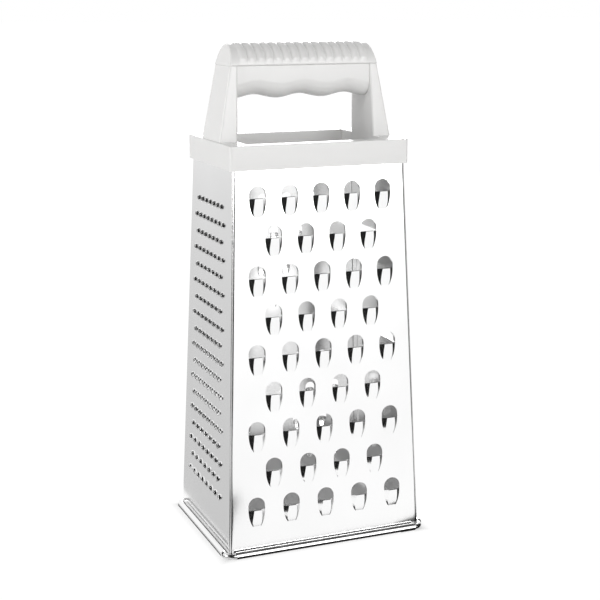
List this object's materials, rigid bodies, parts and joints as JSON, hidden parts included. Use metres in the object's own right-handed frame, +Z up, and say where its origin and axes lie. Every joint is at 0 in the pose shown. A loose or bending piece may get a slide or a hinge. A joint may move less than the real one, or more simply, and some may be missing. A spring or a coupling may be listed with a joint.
{
  "type": "box grater",
  "caption": "Four-sided tapered steel box grater with coarse, fine, shredding and slicing panels, a wired rim and a moulded plastic handle over a collar.",
  "frame": {"origin": "on the floor, under the middle of the body", "axes": "+Z up towards the handle, +Y from the coarse panel to the shredding panel, +X from the fine panel to the slicing panel"},
  "size_m": [0.1064, 0.0814, 0.2392],
  "materials": {
    "panel_steel": "bright, finely rolled stainless sheet",
    "wire_steel": "bright drawn wire",
    "handle_plastic": "moulded, off-white, glossy"
  },
  "bodies": {
    "root": {"coarse_panel": "panel_steel", "fine_panel": "panel_steel", "shred_panel": "panel_steel", "slice_panel": "panel_steel", "rim_wire": "wire_steel", "handle_frame": "handle_plastic", "grip_cover": "handle_plastic"}
  },
  "joints": []
}
